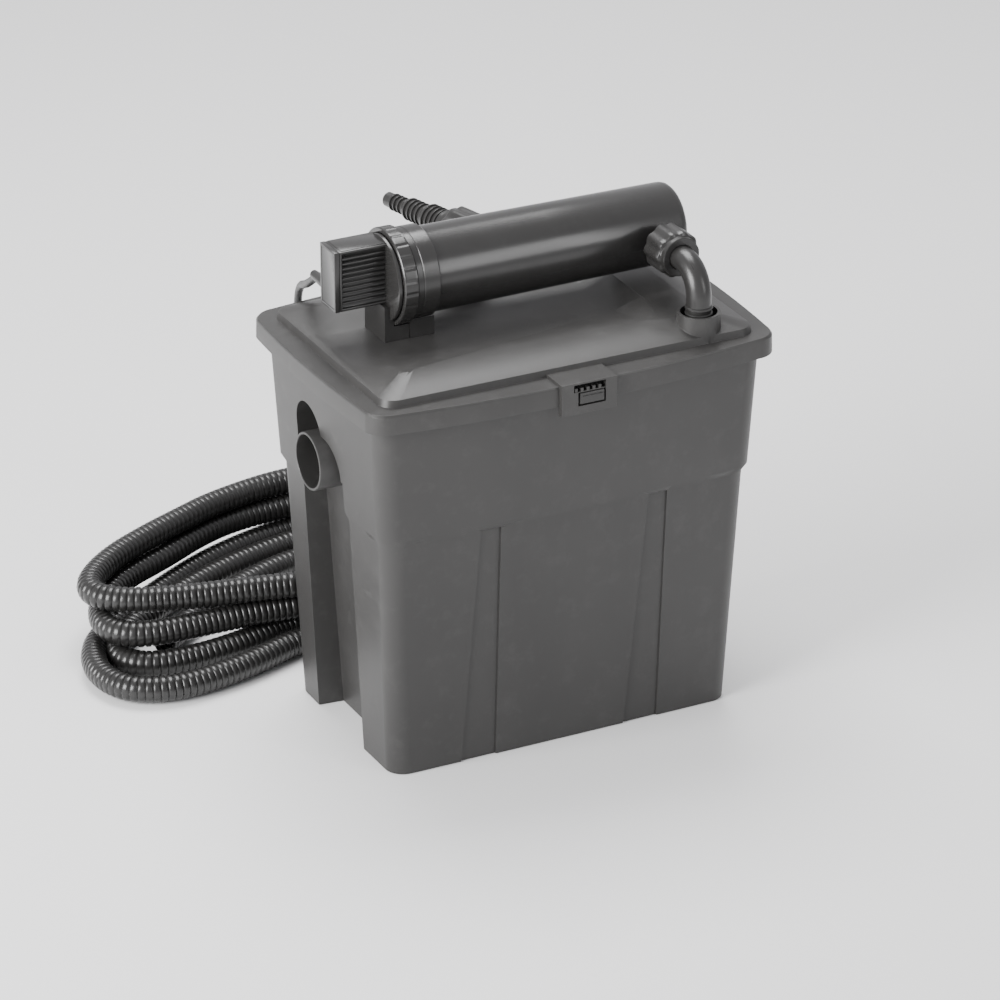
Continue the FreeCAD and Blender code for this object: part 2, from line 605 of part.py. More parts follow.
def make_head():
    """The lamp head: a finned ballast box on a round plug that closes the tube's mouth."""
    box_part = box("head_end - 4.4 - 110.7", "head_back - head_front", "head_top - head_bottom",
                   ("-head_end + 4.4", "head_front", "head_bottom"))
    flange = cylinder("ring_radius - 4.3", 9.3, ("-110.7",) + UV_AXIS, "X")
    plug = cylinder("tube_radius - tube_wall - 0.5", 14, ("-104.8",) + UV_AXIS, "X")
    neck = box(8, "head_back - head_front", "head_top - head_bottom - 2", (-112, "head_front", "head_bottom + 1"))
    trimmed = doc.addObject("Part::MultiCommon", "Neck")
    trimmed.Shapes = [neck, cylinder("ring_radius - 4.3", 10, ("-113",) + UV_AXIS, "X")]
    hollow = box("head_end - 4.4 - 110.7 - 4", "head_back - head_front - 9", "head_top - head_bottom - 7",
                 ("-head_end + 4.3", "head_front + 6", "head_bottom + 3.5"))
    front_pocket = box(42.5, 3, "10 * fin_pitch + 0.4", (-154.2, "head_front - 0.1", "head_bottom + 3.8"))
    lamp_way = fuse(cylinder("sleeve_radius - 2", 24, ("-112",) + UV_AXIS, "X"),
                    cylinder("sleeve_radius + 0.2", 6, ("-mouth + 3.7",) + UV_AXIS, "X"))
    peg = cylinder(2.4, 6, ("-head_end + 7", "head_back - 0.5", "head_top - 9"), "Y")
    solid = cut(fuse(box_part, trimmed, flange, plug, peg), hollow, front_pocket, lamp_way)
    fins = [box(42.6, 2.4, "fin_thickness", (-154.2, "head_front + 0.6", f"head_bottom + 5.2 + {i} * fin_pitch"))
            for i in range(10)]
    piece(fuse(solid, *fins), "ballast_housing")
    cap = cut(box(4.2, "head_back - head_front", "head_top - head_bottom",
                  ("-head_end", "head_front", "head_bottom")),
              box(1.4, "head_back - head_front - 4", "head_top - head_bottom - 4",
                  ("-head_end + 2.9", "head_front + 2", "head_bottom + 2")))
    piece(cap, "ballast_cap")
    piece(box(34, 13, 34, (-151, "head_front + 9", "head_bottom + 8")), "ballast_block")
    gland = turned("Gland", [("0", 0), (6.5, 0), (6.5, 4), (5.5, 5), ("lead_radius + 0.9", 14), ("0", 14)],
                   Placement(Vector(-150, number("head_back"), 391), DIRECTIONS["Y"]))
    piece(gland, "cable_gland")


def make_lamp():
    start = "-mouth + 4"
    piece(cut(cylinder("sleeve_radius", 196, (start,) + UV_AXIS, "X"),
              cylinder("sleeve_radius - sleeve_wall", 194, (start,) + UV_AXIS, "X")), "quartz_sleeve")
    piece(ring("sleeve_radius + 2.2", 1.9, ("-mouth + 9.6",) + UV_AXIS, "X"), "sleeve_seal")
    piece(ring("tube_radius - tube_wall + 1.4", 1.2, ("-mouth - 2.0",) + UV_AXIS, "X"), "head_seal")
    piece(cylinder("sleeve_radius - 2.4", 12, ("-111.5",) + UV_AXIS, "X"), "lamp_socket")
    piece(cylinder("sleeve_radius - 2.4", 24, ("-99.2",) + UV_AXIS, "X"), "lamp_base")
    legs = []
    for side in (-1, 1):
        legs.append(cylinder("lamp_radius", 118, (-75, f"uv_along + {side} * 5.2", "uv_height"), "X"))
    bridge = cylinder("lamp_radius - 1", 10.4, (38, "uv_along - 5.2", "uv_height"), "Y")
    piece(fuse(*legs, bridge), "uv_lamp")


def make_coupling_ring():
    placement = Placement(Vector(-number("ring_length + mouth"), number("uv_along"), number("uv_height")),
                          DIRECTIONS["X"])
    piece(disc_body("CouplingRing", "ring_radius", "ring_radius - 4", "ring_length - 0.3", placement, 24, 0.9),
          "coupling_ring")


def make_elbow():
    x, z = "socket_across", "uv_height"
    wall_bore = "elbow_radius - elbow_wall"
    bend_y, bend_z = "-socket_along + bend_radius", "uv_height - bend_radius"

    def run(radius, extra):
        level = cylinder(radius, f"socket_along - bend_radius - 46 + {extra}", (x, f"-46 + {extra}", z), "-Y")
        drop = cylinder(radius, f"uv_height - bend_radius - 336 + {extra}", (x, "-socket_along", f"336 - {extra}"))
        bend = doc.addObject("Part::Torus", "Bend")
        bind(bend, Radius1="bend_radius", Radius2=radius)
        bend.Angle3 = 90
        bend.Placement = Placement(Vector(number(x), number(bend_y), number(bend_z)),
                                   Rotation(Vector(0, 0, 1), Vector(0, -1, 0), Vector(1, 0, 0), "XYZ"))
        return [level, bend, drop]

    flange = cylinder("nozzle_radius - 0.5", 8.2, (x, -46, z), "-Y")
    beads = [cylinder("elbow_radius + 1.3", 3, (x, "-socket_along", height)) for height in (361, 366.5)]
    outer = fuse(*run("elbow_radius", 0), flange, *beads)
    bore = fuse(*run(wall_bore, 1))
    piece(cut(outer, bore), "elbow")
    piece(tube("nozzle_radius - 0.5", "elbow_radius", 1.8, (x, "-44.1", z), "-Y"), "elbow_gasket")


def nut(name, placement):
    """A lobed union nut: a grooved ring with a turned-in lip at its free end."""
    shell = disc_body(name + "Shell", "union_radius + 1.8", "nozzle_radius + 0.4", "union_length - 5",
                      placement, 10, 3.4)
    lip_at = placement.multiply(Placement(Vector(0, 0, number("union_length - 5")), Rotation()))
    lip = disc_body(name + "Lip", "union_radius - 1.5", "elbow_radius + 0.4", "5", lip_at)
    return fuse(shell, lip)


def make_unions():
    start = number("union_front - union_length")
    piece(nut("ElbowNut", Placement(Vector(number("socket_across"), -start, number("uv_height")),
                                    DIRECTIONS["-Y"])), "elbow_nut")
    nut_solid = nut("TailNut", tail_placement(42.5))
    piece(nut_solid, "tail_nut")
    gasket = tube("nozzle_radius - 0.5", "tail_bore + 3", 1.8, (0, 0, 0))
    gasket.Placement = tail_placement(56.1)
    piece(gasket, "tail_gasket")
    profile = [("tail_bore", 0), ("nozzle_radius - 0.5", 0), ("nozzle_radius - 0.5", 8.8),
               ("elbow_radius - 0.2", 8.8), ("elbow_radius - 0.2", 16), ("barb_large", 17), ("barb_large", 22)]
    z = 23.0
    for radius, barbs, bore_room in (("barb_large", 4, 1.4), ("barb_medium", 5, 1.2), ("barb_small", 4, 1.0)):
        for _ in range(barbs):
            profile += [(f"{radius} - {bore_room}", z), (radius, z + 3.2), (f"{radius} - {bore_room}", z + 5.0)]
            z += 5.2
        z += 1.0
    profile += [("barb_small - 1.0", z), ("barb_small - 1.4", z + 3), ("tail_bore", z + 3)]
    tail = turned("HoseTail", profile, tail_placement(58))
    piece(tail, "hose_tail")


# ---------------------------------------------------------------- cords

def rounded_route(points):
    """Straight runs joined by tangent arcs, each as large as its two runs allow."""
    path = [Vector(*p) for p in points]
    edges, radii, start = [], [], path[0]
    for before, corner, after in zip(path, path[1:], path[2:]):
        arrive, leave = (corner - before), (after - corner)
        shorter = min(arrive.Length, leave.Length)
        arrive.normalize()
        leave.normalize()
        turn = arrive.getAngle(leave)
        back_off = 0.45 * shorter
        radius = back_off / math.tan(turn / 2)
        enter, leave_at = corner - arrive * back_off, corner + leave * back_off
        bisector = (leave - arrive)
        bisector.normalize()
        centre = corner + bisector * (radius / math.cos(turn / 2))
        middle = centre - bisector * radius
        edges.append(Part.LineSegment(start, enter).toShape())
        edges.append(Part.Arc(enter, middle, leave_at).toShape())
        radii.append(radius)
        start = leave_at
    edges.append(Part.LineSegment(start, path[-1]).toShape())
    return Part.Wire(edges), radii


def cord(points, radius, label):
    wire, radii = rounded_route(points)
    direction = Vector(*points[1]) - Vector(*points[0])
    section = Part.Wire(Part.Circle(Vector(*points[0]), direction, radius).toShape())
    solid = wire.makePipeShell([section], True, False)
    share = solid.Volume / (math.pi * radius ** 2 * wire.Length)
    print(f"{label}: length {wire.Length:.0f} mm, smallest radius {min(radii):.0f} mm, volume share {share:.3f}")
    return piece(feature(solid, label.title().replace("_", "")), label), wire.Length


LEAD_ROUTE = [
    (-150, 44, 391), (-150, 60, 391), (-146, 82, 377), (-139, 108, 363), (-133, 130, 354),
    (-129, 146, 336), (-126, 152, 304), (-122, 155, 254), (-116, 157, 196), (-109, 161, 136),
    (-99, 171, 90), (-86, 184, 48), (-68, 190, 17), (-42, 190, 5), (-10, 188.5, 4.2),
]


def laid_ring(centre, half_length, half_width, corner, width, height):
    """The plain outer shape of laid turns: an upright wall, hollow in the middle, on the floor."""
    solids = []
    for inset in (0, width):
        loop = outline(half_length - inset, half_width - inset, corner - inset, 0.3, 0.3, 0)
        solids.append(outward(Part.Face(loop).extrude(Vector(0, 0, height))))
    ring_solid = solids[0].cut(solids[1])
    ring_solid.translate(Vector(*centre))
    return ring_solid


def make_cords():
    cord(LEAD_ROUTE, number("lead_radius"), "mains_lead")
    mid, section, height = number("lead_coil_radius"), 20.0, 21.0
    centre = Vector(LEAD_ROUTE[-1][0] + 2, LEAD_ROUTE[-1][1] + mid + 6.5, 0)
    outer = mid + section / 2
    coil = Part.makeCylinder(outer, height, centre).cut(Part.makeCylinder(outer - section, height, centre))
    coil = coil.cut(Part.makeBox(34, 10, 10, Vector(centre.x - 34, centre.y - outer - 1, 0)))
    piece(feature(coil, "LeadCoil"), "mains_lead_coil")
    plug_x, plug_y, plug_z = centre.x + 60, centre.y - mid + 3, 18.5
    plug = turned("Plug", [("0", -20), (4.6, -20), (6.5, 0), (13, 4), (18, 14), (18, 34), (16.5, 36), ("0", 36)],
                  Placement(Vector(plug_x, plug_y, plug_z), DIRECTIONS["X"]))
    holes = [cylinder(2.3, 8, (plug_x + 30, plug_y + side * 9.5, plug_z), "X") for side in (-1, 1)]
    piece(cut(plug, *holes), "mains_plug")
    pins = doc.addObject("Part::Compound", "Pins")
    pins.Links = [cylinder(2.3, 25, (plug_x + 30.2, plug_y + side * 9.5, plug_z), "X") for side in (-1, 1)]
    piece(pins, "plug_pins")
    hose = laid_ring((-66, 239.5, 0), 256, 135.5, 118, 62, 70)
    piece(feature(hose, "HoseCoil"), "supply_hose_coil")


# ---------------------------------------------------------------- build and write

def main():
    make_tub()
    make_outlet()
    make_hinge_pins()
    make_media()
    make_lid()
    make_lid_fittings()
    make_foot()
    make_housing()
    make_head()
    make_lamp()
    make_coupling_ring()
    make_elbow()
    make_unions()
    make_cords()
    doc.recompute()
    for obj in doc.Objects:
        bad = [state for state in obj.State if state in ("Invalid", "Error")]
        if bad:
            print("FAILED", obj.Name, obj.Label, obj.State)
    os.makedirs("parts", exist_ok=True)
    for obj in PIECES:
        shape = obj.Shape
        if shape.isNull() or not shape.isValid():
            print("BAD SHAPE", obj.Label)
            continue
        box_ = shape.BoundBox
        print(f"{obj.Label:20s} solids {len(shape.Solids):3d} volume {shape.Volume / 1000:9.1f} cm3 "
              f"x {box_.XMin:7.1f} {box_.XMax:7.1f} y {box_.YMin:7.1f} {box_.YMax:7.1f} "
              f"z {box_.ZMin:6.1f} {box_.ZMax:6.1f}")
        shape.exportStep(f"parts/{obj.Label}.step")


main()
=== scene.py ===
# %% [markdown]
# A pond filter box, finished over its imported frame
# The frame holds every part at its true place and size. This lesson gives the parts their
# looks: first the light and the camera, then the finishes, then the two cords, then each
# moulded shell, and last the foams. Blender works in metres, and shapes are written in
# millimetres and multiplied by MM. +Z is up, -Y is the latch side and -X is the outlet end.

# %% Load the frame
import json
import math
import bmesh
import bpy
from mathutils import Matrix, Vector, noise


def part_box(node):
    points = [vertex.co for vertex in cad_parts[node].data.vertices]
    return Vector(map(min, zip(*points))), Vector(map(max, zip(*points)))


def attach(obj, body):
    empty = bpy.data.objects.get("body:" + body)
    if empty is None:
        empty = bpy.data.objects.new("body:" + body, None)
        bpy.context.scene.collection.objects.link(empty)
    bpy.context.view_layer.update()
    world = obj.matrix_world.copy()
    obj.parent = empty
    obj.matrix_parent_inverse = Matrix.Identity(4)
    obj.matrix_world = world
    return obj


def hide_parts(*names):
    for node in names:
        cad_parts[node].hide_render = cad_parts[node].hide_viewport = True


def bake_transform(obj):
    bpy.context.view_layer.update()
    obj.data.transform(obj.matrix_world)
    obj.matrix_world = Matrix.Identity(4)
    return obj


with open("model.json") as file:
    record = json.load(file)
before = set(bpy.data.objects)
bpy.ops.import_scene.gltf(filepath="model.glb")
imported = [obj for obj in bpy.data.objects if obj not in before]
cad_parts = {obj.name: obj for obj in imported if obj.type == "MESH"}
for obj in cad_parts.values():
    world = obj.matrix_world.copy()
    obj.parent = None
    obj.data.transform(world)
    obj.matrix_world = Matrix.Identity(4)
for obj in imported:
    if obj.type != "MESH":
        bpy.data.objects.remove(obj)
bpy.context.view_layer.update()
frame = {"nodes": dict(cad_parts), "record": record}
MM = 0.001


# %% [markdown]
# ## Light, floor and camera
# A product stands on a pale sheet between soft boxes. A sun or a point lamp would draw hard
# highlights on dark plastic, so area lights are used. The largest stands off the outlet end,
# so that end is the lightest, the lid comes next and the latch side is the darkest.

# %% Camera, floor and lights
def nothing_selected():
    """Operators act on all that is selected, so each piece starts from a clean slate."""
    if bpy.context.mode != "OBJECT":
        bpy.ops.object.mode_set(mode="OBJECT")
    bpy.ops.object.select_all(action="DESELECT")


def aim(thing, target):
    """Turn a lamp or a camera, which look along their own -Z, towards a place."""
    thing.rotation_euler = (Vector(target) - thing.location).to_track_quat("-Z", "Y").to_euler()


def soft_box(name, place, target, width, height, power):
    """A rectangular area light, in metres and watts."""
    lamp_data = bpy.data.lights.new(name, "AREA")
    lamp_data.shape = "RECTANGLE"
    lamp_data.size, lamp_data.size_y, lamp_data.energy = width, height, power
    lamp = bpy.data.objects.new(name, lamp_data)
    bpy.context.scene.collection.objects.link(lamp)
    lamp.location = place
    aim(lamp, target)


TARGET = Vector((0, 0, 0.1955))
AZIMUTH, ELEVATION, DISTANCE = math.radians(-26.93), math.radians(25.28), 4.400
camera_data = bpy.data.cameras.new("Camera")
camera = bpy.data.objects.new("Camera", camera_data)
bpy.context.scene.collection.objects.link(camera)
camera.location = TARGET + DISTANCE * Vector((math.sin(AZIMUTH) * math.cos(ELEVATION),
                                              -math.cos(AZIMUTH) * math.cos(ELEVATION),
                                              math.sin(ELEVATION)))
aim(camera, TARGET)
camera_data.lens, camera_data.sensor_width = 188.9, 36
camera_data.shift_x, camera_data.shift_y = -0.0133, -0.0159
camera_data.clip_end = 50
bpy.context.scene.camera = camera

nothing_selected()
FLOOR_SIZE, FLOOR_DROP = 14, 0.0006
bpy.ops.mesh.primitive_plane_add(size=FLOOR_SIZE, location=(0, 0, -FLOOR_DROP))
floor = bpy.context.object
floor.name = "studio_floor"
floor_finish = bpy.data.materials.new("studio_sheet")
floor_finish.use_nodes = True
sheet = floor_finish.node_tree.nodes["Principled BSDF"].inputs
sheet["Base Color"].default_value = (0.86, 0.86, 0.86, 1)
sheet["Roughness"].default_value = 0.9
floor.data.materials.append(floor_finish)

world = bpy.data.worlds.new("Studio")
bpy.context.scene.world = world
world.use_nodes = True
sky = world.node_tree.nodes["Background"].inputs
sky["Color"].default_value = (0.98, 0.975, 1, 1)
sky["Strength"].default_value = 0.75
soft_box("outlet_side_box", (-2.6, -0.5, 1.3), (0, 0, 0.2), 1.6, 1.6, 150)
soft_box("overhead_box", (0.2, 0.9, 2.4), (0, 0, 0.3), 1.4, 1.4, 66)
soft_box("front_strip", (1.5, -2.6, 1.4), (0, 0, 0.25), 0.5, 1.6, 18)
print("camera at", tuple(round(v, 3) for v in camera.location))


# %% [markdown]
# ## Writing finishes as sums
# A finish is a small sum of patterns. Its nodes could be added and linked one by one, but a
# sum is easier to read. So `Pattern` wraps a node's socket and each operator adds one Math
# node, and every other node comes from one method of `Finish`.

# %% Socket arithmetic
class Pattern:
    """A shader socket that can be added, subtracted and multiplied."""

    def __init__(self, finish, socket):
        self.finish, self.socket = finish, socket

    def _maths(self, operation, first, second):
        return self.finish.node("ShaderNodeMath", {"operation": operation}, {0: first, 1: second})

    def __add__(self, other):
        return self._maths("ADD", self, other)

    def __sub__(self, other):
        return self._maths("SUBTRACT", self, other)

    def __rsub__(self, other):
        return self._maths("SUBTRACT", other, self)

    def __mul__(self, other):
        return self._maths("MULTIPLY", self, other)

    __radd__, __rmul__ = __add__, __mul__


class Finish:
    """A material whose nodes are made from types, settings and inputs."""

    def __init__(self, name):
        self.material = bpy.data.materials.new(name)
        self.material.use_nodes = True
        self.tree = self.material.node_tree
        self.shader = self.tree.nodes["Principled BSDF"]

    def node(self, kind, settings=None, inputs=None, output=0):
        made = self.tree.nodes.new(kind)
        for key, value in (settings or {}).items():
            if key == "stops":
                for element, stop in zip(made.color_ramp.elements, value):
                    element.position, element.color = stop
            else:
                setattr(made, key, value)
        for key, value in (inputs or {}).items():
            self.feed(made.inputs[key], value)
        return Pattern(self, made.outputs[output])

    def feed(self, socket, value):
        if isinstance(value, Pattern):
            self.tree.links.new(value.socket, socket)
        else:
            socket.default_value = value

    def place(self):
        """Object coordinates."""
        return self.node("ShaderNodeTexCoord", output=3)

    def stretched(self, scale):
        return self.node("ShaderNodeMapping", None, {"Vector": self.place(), "Scale": scale})

    def noise(self, scale, detail=2.0, roughness=0.5, where=None):
        return self.node("ShaderNodeTexNoise", None,
                         {"Vector": where or self.place(), "Scale": scale, "Detail": detail,
                          "Roughness": roughness})

    def ramp(self, amount, low, high):
        """A mask that climbs from black at low to white at high."""
        stops = [(low, (0, 0, 0, 1)), (high, (1, 1, 1, 1))]
        return self.node("ShaderNodeValToRGB", {"stops": stops}, {"Fac": amount})

    def blend(self, amount, first, second):
        """The first colour where the amount is 0, and the second where it is 1."""
        return self.node("ShaderNodeMix", {"data_type": "RGBA"}, {0: amount, 6: first, 7: second}, 2)

    def relief(self, height, depth):
        """Bumps as deep as depth, in metres."""
        return self.node("ShaderNodeBump", None, {"Height": height, "Distance": depth, "Strength": 1.0})

    def set(self, **inputs):
        for key, value in inputs.items():
            self.feed(self.shader.inputs[key.replace("_", " ")], value)
        return self


def grey(value, warm=0.0):
    """A grey of one level, leaning to brown by the share warm."""
    return (value * (1 + warm), value, value * (1 - warm), 1)


print("finish tools ready")


# %% [markdown]
# ## Moulded plastics
# The tub and lid are one dark grey polyolefin, spark-eroded to a fine satin. It shows soft
# flow marks, a little pale dust, and small rubbed places. The clarifier is a smoother, darker
# grade with a soft gloss. Flat colours would look like computer plastic, so both come from
# one recipe of layered noise at different strengths. The lid's copy of the grey is a little
# lighter: painted light for its top, which faces the lamps.

# %% Moulded finishes
WARMTH = 0.03


def moulded(name, base, roughness, grain, gloss_coat=0.0, dust=0.25):
    """Plastic of one grey level, with pits as deep as grain, in metres."""
    finish = Finish(name)
    cloud = finish.noise(9, 3, 0.55)
    flow = finish.noise(1, 3, 0.5, finish.stretched((30, 30, 5)))
    dust_mask = finish.ramp(finish.noise(55, 5, 0.7), 0.52, 0.78) * dust
    tone = finish.blend(finish.ramp(cloud * 0.6 + flow * 0.4, 0.35, 0.68), grey(base * 0.90, WARMTH),
                        grey(base * 1.10, WARMTH))
    colour = finish.blend(dust_mask, tone, grey(base * 1.9 + 0.02, 0.02))
    pits = finish.noise(1700, 2, 0.6)
    scuff = finish.ramp(finish.noise(1, 4, 0.6, finish.stretched((260, 40, 40))), 0.62, 0.70)
    satin = roughness + (cloud - 0.5) * 0.10 + dust_mask * 0.3 - scuff * 0.05
    finish.set(Base_Color=colour, Roughness=satin, Normal=finish.relief(pits + flow * 0.15, grain))
    finish.shader.inputs["Coat Weight"].default_value = gloss_coat
    finish.shader.inputs["Coat Roughness"].default_value = 0.25
    finish.shader.inputs["Specular IOR Level"].default_value = 0.45
    return finish.material


tub_plastic = moulded("tub_moulded_plastic", 0.030, 0.42, 0.00008)
# the lid's base grey is a little above the tub's: painted light for its lit top, not a paler plastic
lid_plastic_painted_lighter = moulded("lid_plastic_painted_top_light", 0.034, 0.37, 0.00007)
clarifier_plastic = moulded("clarifier_glossy_plastic", 0.022, 0.22, 0.00003, 0.25, 0.10)
fitting_plastic = moulded("fitting_plastic", 0.022, 0.30, 0.00004, 0.10, 0.15)
pipe_plastic = moulded("outlet_pipe_plastic", 0.028, 0.38, 0.00005)
inner_plastic = moulded("inner_tray_plastic", 0.075, 0.45, 0.00008)
print("moulded finishes made")


# %% [markdown]
# ## Rubber, metal, glass, ceramic and foam
# The small parts each need a finish of their own, since the lid opens and shows the inside.
# Rubber is darker and duller with a pale bloom, metal is brushed one way, glass is smeared,
# and foam is cells whose pores are darkened with painted shade. Each is one function, and
# each part's slot in the frame's record then names the finish that it wears.

# %% Other finishes
def rubber(name, base, roughness):
    """Dull rubber of one grey level, with a pale bloom."""
    finish = Finish(name)
    cloud = finish.noise(60, 4, 0.6)
    bloom = finish.ramp(finish.noise(220, 4, 0.7), 0.5, 0.8) * 0.3
    colour = finish.blend(bloom, grey(base), grey(base * 3.0 + 0.01))
    finish.set(Base_Color=colour, Roughness=roughness + (cloud - 0.5) * 0.18,
               Normal=finish.relief(finish.noise(2500, 2), 0.00003))
    return finish.material


def metal(name, colour, roughness, streak):
    """Metal whose brush marks are stretched by the scales in streak."""
    finish = Finish(name)
    brushed = finish.noise(1, 3, 0.6, finish.stretched(streak))
    finish.set(Base_Color=finish.blend(brushed, colour, tuple(c * 0.78 for c in colour[:3]) + (1,)),
               Roughness=roughness + brushed * 0.15, Normal=finish.relief(brushed, 0.00002))
    finish.shader.inputs["Metallic"].default_value = 1.0
    return finish.material


def glass(name, tint, haze):
    """Clear glass with a faint smear."""
    finish = Finish(name)
    smear = finish.noise(40, 3, 0.5)
    finish.set(Base_Color=finish.blend(smear, tint, tuple(c * 0.93 for c in tint[:3]) + (1,)),
               Roughness=haze + smear * 0.06)
    finish.shader.inputs["Transmission Weight"].default_value = 0.9
    finish.shader.inputs["IOR"].default_value = 1.46
    return finish.material


def foam(name, colour, cell):
    """Open foam: cell is how many cells fill a metre, a brown stain lies over them, and the pores get painted
    shade.
    """
    finish = Finish(name)
    cells = finish.node("ShaderNodeTexVoronoi", None, {"Vector": finish.place(), "Scale": cell})
    cell_relief_and_pore_shade = finish.ramp(cells, 0.10, 0.42)
    # painted shade: the pores' hollows are coloured dark, as the shade inside them would be; the same mask also
    # drives the real bump
    painted_pore_shade = tuple(c * 0.22 for c in colour[:3]) + (1,)
    stain = finish.ramp(finish.noise(14, 4, 0.6), 0.35, 0.75)
    body = finish.blend(stain * 0.35, colour, (0.10, 0.085, 0.05, 1))
    finish.set(Base_Color=finish.blend(cell_relief_and_pore_shade, painted_pore_shade, body), Roughness=0.85 + cell_relief_and_pore_shade * 0.1,
               Normal=finish.relief(cell_relief_and_pore_shade, 0.0010))
    return finish.material


seal_rubber = rubber("seal_rubber", 0.022, 0.55)
lead_rubber = rubber("lead_rubber", 0.028, 0.42)
steel = metal("screw_steel", (0.62, 0.62, 0.60, 1), 0.28, (900, 900, 60))
brass = metal("pin_nickel_brass", (0.72, 0.66, 0.52, 1), 0.22, (60, 900, 900))
quartz = glass("quartz_sleeve_glass", (0.93, 0.96, 1.0, 1), 0.04)
lamp_glass = glass("lamp_tube_glass", (0.90, 0.93, 1.0, 1), 0.10)
ceramic = moulded("lamp_base_ceramic", 0.62, 0.50, 0.00003, 0.0, 0.05)
ballast_enamel = moulded("ballast_enamel", 0.42, 0.40, 0.00003, 0.1, 0.10)
coarse_foam = foam("coarse_blue_foam", (0.055, 0.12, 0.24, 1), 380)
medium_foam = foam("medium_black_foam", (0.05, 0.05, 0.05, 1), 520)
fine_foam = foam("fine_buff_foam", (0.34, 0.30, 0.21, 1), 800)
media_plastic = moulded("media_ball_plastic", 0.045, 0.40, 0.00020, 0.0, 0.4)
FINISHES = {
    "tub_black": tub_plastic, "lid_black": lid_plastic_painted_lighter, "clarifier_black": clarifier_plastic,
    "fitting_black": fitting_plastic, "outlet_grey": pipe_plastic, "seal_rubber": seal_rubber,
    "hose_black": fitting_plastic, "lead_rubber": lead_rubber, "pin_brass": brass,
    "screw_steel": steel, "quartz": quartz, "lamp_glass": lamp_glass, "lamp_ceramic": ceramic,
    "foam_coarse": coarse_foam, "foam_medium": medium_foam, "foam_fine": fine_foam,
    "media_plastic": media_plastic, "tray_plastic": inner_plastic, "ballast_steel": ballast_enamel,
}
for subpart in frame["record"]["subparts"]:
    shown = frame["nodes"][subpart["node"]]
    shown.data.materials.clear()
    shown.data.materials.append(FINISHES[subpart["material_slot"]])


# %% [markdown]
# ## The supply hose
# About five metres of ribbed pond hose lie behind the tub in four loose turns and a bit. Each
# turn is a little different, and the turns fan out at the end that shows. The first turns lie
# on the ground, and the later ones climb on top of them. A spiral made by a formula would lie
# too evenly for a hose dropped by hand, so the turns that show are points placed one by one,
# and a function closes each of them where the tub hides it. All are points of one smooth curve.

# %% The hose's line
HIDDEN_END_START = -30
# the outline of a hidden end: shares of its reach along X and of the way from far to near
HIDDEN_END_SHARES = ((0.36, 0.01), (0.66, 0.10), (0.88, 0.30), (1.0, 0.55), (0.93, 0.78), (0.70, 0.94),
                     (0.38, 1.02), (0.05, 1.0))


def half_turn(far_y, near_y, reach, heights):
    """The hidden end of a turn, from the far strand round to the near strand, in millimetres."""
    low, middle, high = heights
    points = []
    for step, (along, across) in enumerate(HIDDEN_END_SHARES):
        share = step / (len(HIDDEN_END_SHARES) - 1)
        rise = (1 - share) ** 2 * low + 2 * share * (1 - share) * middle + share ** 2 * high
        points.append((HIDDEN_END_START + (reach - HIDDEN_END_START) * along,
                       far_y + (near_y - far_y) * across, rise))
    return points


SHOWN_TURNS = [
    # each turn that shows: from its near strand, round the end, to its far strand
    [(-85, 132, 12), (-129, 150, 12), (-171, 133, 12), (-208, 121, 12), (-259, 113, 12), (-298, 126, 12),
     (-312, 158, 12), (-307, 196, 12), (-284, 234, 12), (-225, 276, 12), (-161, 317, 12), (-110, 339, 12),
     (-50, 356, 12)],
    [(-80, 172, 12), (-122, 185, 12), (-170, 168, 12), (-222, 159, 12), (-268, 163, 12), (-287, 188, 12),
     (-268, 226, 12), (-218, 262, 12), (-167, 290, 12), (-126, 308, 12), (-85, 321, 12), (-45, 330, 12)],
    [(-80, 160, 35), (-125, 170, 35), (-184, 174, 35), (-233, 173, 35), (-273, 178, 35), (-292, 201, 35),
     (-279, 245, 35), (-242, 284, 35), (-192, 308, 35), (-145, 336, 35), (-105, 351, 35), (-50, 357, 35)],
    [(-80, 152, 57), (-127, 166, 57), (-182, 178, 57), (-226, 187, 57), (-270, 202, 57), (-293, 226, 57),
     (-284, 254, 57), (-249, 286, 57), (-206, 310, 57), (-165, 329, 57), (-123, 348, 57), (-50, 364, 57)],
]
HIDDEN_ENDS = [
    # for each: the far strand's y, the near strand's y, the reach and three heights
    (302, 122, 172, (12, 12, 12)), (362, 142, 150, (14, 60, 13)), (332, 140, 128, (12, 50, 34)),
    (362, 128, 172, (35, 46, 57)),
]
FIRST_STRAND = [(-240, 196, 12), (-226, 206, 12), (-200, 228, 12), (-166, 251, 12), (-119, 276, 12),
                (-69, 294, 12)]
LAST_STRAND = [(20, 356, 57), (80, 330, 57), (124, 290, 57), (140, 245, 57)]
hose_points = list(FIRST_STRAND)
for ending, turn in zip(HIDDEN_ENDS, SHOWN_TURNS):
    hose_points += half_turn(*ending) + turn
hose_points += LAST_STRAND


def smooth_line(name, points_mm, closeness):
    """One NURBS curve that its points pull into shape, with closeness steps between two points."""
    curve = bpy.data.curves.new(name, "CURVE")
    curve.dimensions = "3D"
    spline = curve.splines.new("NURBS")
    spline.points.add(len(points_mm) - 1)
    for point, place in zip(spline.points, points_mm):
        point.co = (place[0] * MM, place[1] * MM, place[2] * MM, 1)
    spline.order_u = 3
    spline.use_endpoint_u = True
    spline.resolution_u = closeness
    line = bpy.data.objects.new(name, curve)
    bpy.context.scene.collection.objects.link(line)
    return line


def points_along(line):
    """The places that a bare curve passes through, read from the curve itself."""
    bpy.context.view_layer.update()
    mesh = bpy.data.meshes.new_from_object(line.evaluated_get(bpy.context.evaluated_depsgraph_get()))
    places = [vertex.co.copy() for vertex in mesh.vertices]
    bpy.data.meshes.remove(mesh)
    return places


def length_of(places):
    return sum((b - a).length for a, b in zip(places, places[1:]))


hose_line = smooth_line("hose_line", hose_points, closeness=8)
hose_path = points_along(hose_line)
hose_length = length_of(hose_path)
print("hose line", round(hose_length, 3), "m through", len(hose_path), "places")


